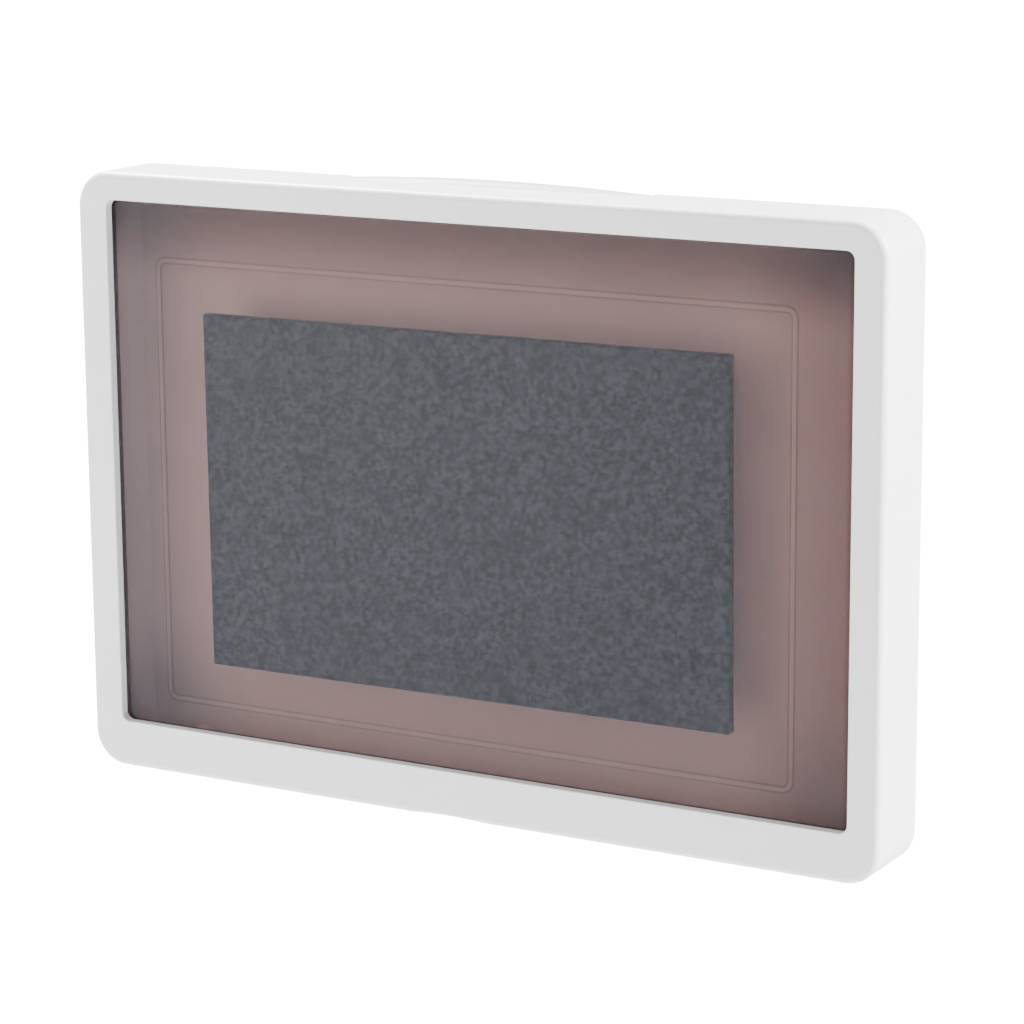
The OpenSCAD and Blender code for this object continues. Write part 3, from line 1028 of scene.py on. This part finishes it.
@dataclass
class Screws:
    """Identical pan head screws that point along the depth. Millimetres."""

    node: str  # the CAD node that they stand for
    body: str  # the CAD body that they ride on
    places: list[tuple[float, float]]  # their X and Z
    tip: float  # the depth of their tips
    seat: float  # the depth of the faces that their heads sit on
    head: float  # the depth of their crowns
    shank_radius: float  # their shanks' radius
    head_radius: float  # their heads' radius
    drive: Drive = Drive.CROSS  # how they are driven
    turns: int = 7  # how many turns of thread they have

    @property
    def way(self) -> int:
        """1 if the head faces the front, -1 if it faces the wall."""
        return 1 if self.head > self.seat else -1

    def build(self) -> Piece:
        """Makes every screw of this kind as one piece."""
        pattern = self.make_pattern()
        bm = bmesh.new()
        for x, z in self.places:
            old = set(bm.verts)
            bm.from_mesh(pattern.data)
            new = [v for v in bm.verts if v not in old]
            bmesh.ops.translate(bm, verts=new, vec=(x * MM, 0, z * MM))
        bpy.data.objects.remove(pattern, do_unlink=True)
        piece = finished(bm, self.node + "_turned")
        shade(piece, math.radians(40))
        even_normals(piece)
        return dressed(piece, Finish.STEEL, self.body, self.node)

    def section(self) -> list[tuple[float, float]]:
        """Half of the screw's section, as radius and depth, from its tip to its crown."""
        thick, core = self.shank_radius, self.shank_radius * 0.82
        pitch = (self.seat - self.tip) / (self.turns + 1)
        points = [(0.0, self.tip), (thick * 0.6, self.tip)]
        for k in range(self.turns):
            at = self.tip + pitch * (k + 0.4)
            points += [(core, at), (thick, at + pitch * 0.3)]
        rise, wide = self.head - self.seat, self.head_radius
        points += [(core, self.seat), (wide, self.seat), (wide, self.seat + rise * 0.4)]
        for k in range(1, 6):
            turn = math.radians(18 * k)
            radius = wide * math.cos(turn) ** 0.6 if k < 5 else 0.0
            points.append((radius, self.seat + rise * (0.4 + 0.6 * math.sin(turn))))
        return points

    def make_pattern(self) -> Piece:
        """Spins one screw round its axis and cuts its drive recess."""
        bm = bmesh.new()
        verts = [bm.verts.new(Vector((r, -d, 0)) * MM) for r, d in self.section()]
        edges = [bm.edges.new(pair) for pair in zip(verts, verts[1:])]
        bmesh.ops.spin(
            bm,
            geom=verts + edges,
            cent=(0, 0, 0),
            axis=(0, 1, 0),
            angle=math.tau,
            steps=32,
            use_merge=True,
        )
        piece = finished(bm, "screw_pattern")
        floor = self.head - (self.head - self.seat) * RECESS_DEPTH
        top = self.head + self.way
        wide = self.head_radius
        if self.drive is Drive.HEX:
            tool = bmesh.new()
            add_rod(tool, Vector((0, -floor, 0)), Vector((0, -top, 0)), wide * 0.42, sides=6)
            carve(piece, finished(tool, "hex_recess"))
            return piece
        place = Matrix.Translation((0, -(floor + top) / 2 * MM, 0))
        arm = Matrix.Diagonal((wide * 1.1 * MM, abs(top - floor) * MM, wide * 0.24 * MM, 1))
        for turn in (20, 110):
            tool = bmesh.new()
            askew = Matrix.Rotation(math.radians(turn), 4, "Y")
            bmesh.ops.create_cube(tool, size=1, matrix=place @ askew @ arm)
            carve(piece, finished(tool, "cross_recess"))
        return piece


# ---- the tray


@dataclass
class Tray:
    """The shallow tray with its seal, pad, pin and hub. Millimetres."""

    pad_size: tuple[float, float] = (136.0, 84.0)  # the foam pad's width and height
    pad_place: tuple[float, float] = (-4.6, -2.8)  # the pad's middle, in X and Z
    pad_turn: float = 0.4  # how many degrees askew it is stuck
    pad_corner: float = 0.6  # radius of its corners
    pad_edge: float = 0.45  # radius of its front edge
    pad_sheet: float = 2.5  # thickness of its front sheet
    pad_overhang: float = 7.0  # how far the sheet runs past the block behind it
    pad_pocket: float = 27.5  # radius of the pocket that clears the hub's boss
    pad_pocket_depth: float = 4.6  # depth of that pocket
    hub_ring: float = 24.2  # radius of the ring that the hub screws stand on
    hub_shank: float = 1.5  # radius of their shanks
    # faces this near the hinge's axis take the barrel's painted shade
    painted_shade_reach: float = 4.3  # faces nearer the hinge's axis than this are the barrel's
    floor: float = 15.2  # depth of the face that the hub screws' heads sit on
    body: str = "tray"  # the CAD body that it all rides on

    def build(self) -> None:
        """Builds every piece of the tray."""
        self.make_tray()
        softened("rim_seal", Finish.SEAL, self.body, 0.2)
        self.make_pad()
        softened("swivel_hub", Finish.MOUNT, self.body, 0.35)
        softened("hinge_pin", Finish.STEEL, self.body, 0.2)
        keep_node("pad_tape", Finish.PAD_TAPE)
        keep_node("tray_magnets", Finish.NICKEL)
        node = "hub_screws"
        tip, head = depth_of(node, False), depth_of(node, True)
        at = self.hub_ring / math.sqrt(2)
        places = [(x, z) for x in (-at, at) for z in (-at, at)]
        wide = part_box(node)[1].x / MM - at
        Screws(node, self.body, places, tip, self.floor, head, self.hub_shank, wide).build()

    def make_tray(self) -> Piece:
        """Makes the tray, with painted shade on its hinge barrel: the same plastic, coloured
        greyer.
        """
        piece = softened("rear_tray", Finish.TRAY, self.body, 0.2)
        piece.data.materials.append(Finish.BARREL.material)
        low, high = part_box("hinge_pin")
        axis = (low + high) / 2
        # faces round the hinge's axis take the barrel's painted shade
        for face in piece.data.polygons:
            off = face.center - axis
            if math.hypot(off.y, off.z) < self.painted_shade_reach * MM:
                face.material_index = 1
        return piece

    def make_pad(self) -> Piece:
        """Makes the cut foam pad: a thin soft-edged sheet on a smaller block."""
        back, front = depth_of("foam_pad", False), depth_of("foam_pad", True)
        wide, high = self.pad_size
        sheet = Outline(wide, high, self.pad_corner, front - self.pad_sheet)
        block = sheet.inset(self.pad_overhang, back)
        slant = 0.3
        outlines = [
            block,
            block.at(sheet.depth),
            sheet.inset(slant, sheet.depth),
            sheet.at(sheet.depth + slant),
            sheet.at(front - self.pad_edge),
        ]
        outlines += rounded(outlines[-1], self.pad_edge, 1, steps=3)
        bm = bmesh.new()
        loops = bridge(bm, outlines)
        bmesh.ops.edgeloop_fill(bm, edges=loops[0])
        bmesh.ops.edgeloop_fill(bm, edges=loops[-1])
        askew = Matrix.Rotation(math.radians(-self.pad_turn), 3, "Y")
        bmesh.ops.rotate(bm, verts=bm.verts, cent=(0, 0, 0), matrix=askew)
        x, z = self.pad_place
        bmesh.ops.translate(bm, verts=bm.verts, vec=Vector((x, 0, z)) * MM)
        piece = finished(bm, "foam_pad_cut")
        pocket = bmesh.new()
        start, end = Vector((0, -(back - 2), 0)), Vector((0, -(back + self.pad_pocket_depth), 0))
        add_rod(pocket, start, end, self.pad_pocket, sides=96)
        carve(piece, finished(pocket, "pad_pocket"))
        shade(piece, ROUND_ANGLE)
        even_normals(piece)
        dressed(piece, Finish.FOAM, self.body, "foam_pad")
        return piece


# ---- swivel and wall side


@dataclass
class Mount:
    """The slide shoe, thrust washer and screw, and the bracket on the wall."""

    centre_shank: float = 2.2  # radius of the centre screw's shank, in millimetres
    shoe_body: str = "shoe"  # the CAD body that the shoe's pieces ride on
    wall_body: str = "bracket"  # the CAD body that the wall's pieces ride on

    def build(self) -> None:
        """Builds every piece behind the tray."""
        softened("slide_shoe", Finish.MOUNT, self.shoe_body, 0.4)
        softened("thrust_washer", Finish.STEEL, self.shoe_body, 0.2)
        keep_node("friction_ring", Finish.SEAL)
        node = "centre_screw"
        tip, head = depth_of(node, False), depth_of(node, True)
        seat = depth_of("thrust_washer", True)
        low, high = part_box(node)
        wide = (high.x - low.x) / 2 / MM
        sizes = (tip, seat, head, self.centre_shank, wide, Drive.HEX)
        Screws(node, self.shoe_body, [(0.0, 0.0)], *sizes).build()
        softened("wall_bracket", Finish.MOUNT, self.wall_body, 0.35)
        softened("adhesive_pad", Finish.ADHESIVE, self.wall_body, 0.2)


# ---- the studio


@dataclass(frozen=True)
class SoftBox:
    """A square soft light that faces the box."""

    name: str  # its name
    place: tuple[float, float, float]  # where it stands, in metres
    size: float  # its width in metres
    watts: float  # its power

    def build(self) -> None:
        """Adds the light to the scene."""
        data = bpy.data.lights.new(self.name, "AREA")
        data.size, data.energy = self.size, self.watts
        light = bpy.data.objects.new(self.name, data)
        light.location = self.place
        light.rotation_mode = "QUATERNION"
        light.rotation_quaternion = (-Vector(self.place)).to_track_quat("-Z", "Y")
        bpy.context.scene.collection.objects.link(light)


@dataclass
class Studio:
    """The camera, soft lights and white surroundings."""

    lens: float = 120.98  # the camera's focal length on a 36 mm wide sensor
    # its turns in degrees: about Z, then its own X, then its line of sight
    turn: tuple[float, float, float] = (29.67, -12.40, 0.42)
    # its place in millimetres from the middle of the cover's front
    place: tuple[float, float, float] = (380.56, -644.08, 164.89)
    floor_z: float = -0.42  # the floor's height in metres
    floor_radius: float = 3.0  # the floor's radius in metres
    floor_shade: float = 0.85  # how much light the floor gives back
    white: float = 20.0  # brightness of what the camera sees behind the object
    ambient: float = 0.56  # brightness of what lights the object from all round
    # the soft lights
    boxes: tuple[SoftBox, ...] = (
        SoftBox("right_box", (0.98, 0.2, 0.5), 0.3, 78),
        SoftBox("top_box", (-0.6, 0.2, 0.78), 0.3, 60),
        SoftBox("front_box", (-0.44, -0.44, 0.1), 0.6, 5.5),
        SoftBox("high_fill", (0.55, -0.7, 0.5), 0.6, 2.6),
    )

    def build(self) -> None:
        """Sets up the camera, the lights, the world and the floor."""
        self.make_camera()
        self.make_world()
        self.make_floor()
        for box in self.boxes:
            box.build()

    def make_camera(self) -> None:
        """Places the camera in front, to the right and a little above."""
        data = bpy.data.cameras.new("camera")
        data.lens, data.sensor_width = self.lens, 36
        data.clip_start, data.clip_end = 0.01, 50
        camera = bpy.data.objects.new("camera", data)
        yaw, pitch, roll = (math.radians(v) for v in self.turn)
        aim = Matrix.Rotation(yaw, 3, "Z") @ Matrix.Rotation(pitch, 3, "X")
        look = aim @ Matrix.Rotation(roll, 3, "Y")
        right, ahead, up = look.col[0], look.col[1], look.col[2]
        basis = Matrix((right, up, -ahead)).transposed().to_4x4()
        front = -depth_of("front_cover", True)
        basis.translation = Vector((self.place[0], self.place[1] + front, self.place[2])) * MM
        camera.matrix_world = basis
        bpy.context.scene.collection.objects.link(camera)
        bpy.context.scene.camera = camera

    def make_world(self) -> None:
        """Makes surroundings that light softly and show pure white."""
        world = bpy.data.worlds.new("studio")
        bpy.context.scene.world = world
        world.use_nodes = True
        tree = world.node_tree
        tree.nodes.clear()
        output = tree.nodes.new("ShaderNodeOutputWorld")
        mix = tree.nodes.new("ShaderNodeMixShader")
        path = tree.nodes.new("ShaderNodeLightPath")
        for strength, socket in ((self.ambient, 1), (self.white, 2)):
            light = tree.nodes.new("ShaderNodeBackground")
            light.inputs["Strength"].default_value = strength
            light.inputs["Color"].default_value = (1, 1, 1, 1)
            tree.links.new(light.outputs[0], mix.inputs[socket])
        tree.links.new(path.outputs["Is Camera Ray"], mix.inputs[0])
        tree.links.new(mix.outputs[0], output.inputs[0])

    def make_floor(self) -> None:
        """Makes a wide white floor well below the box."""
        bm = bmesh.new()
        bmesh.ops.create_circle(bm, cap_ends=True, segments=64, radius=self.floor_radius)
        bmesh.ops.translate(bm, verts=bm.verts, vec=(0, 0, self.floor_z))
        floor = finished(bm, "floor")
        s = Sockets("floor_white")
        mix = s.add("MixShader")
        s.link(s.add("LightPath").outputs["Is Camera Ray"], mix.inputs[0])
        matt = s.add("BsdfDiffuse", Color=(*[self.floor_shade] * 3, 1))
        glow = s.add("Emission", Strength=self.white)
        for k, shader in enumerate((matt, glow), 1):
            s.link(shader.outputs[0], mix.inputs[k])
        floor.data.materials.append(s.done(mix))


def main() -> None:
    """Builds the studio and each sub-assembly in order."""
    logging.basicConfig(level=logging.INFO, format="%(message)s")
    Studio().build()
    Cover().build()
    Tray().build()
    Mount().build()


if __name__ == "__main__":
    main()
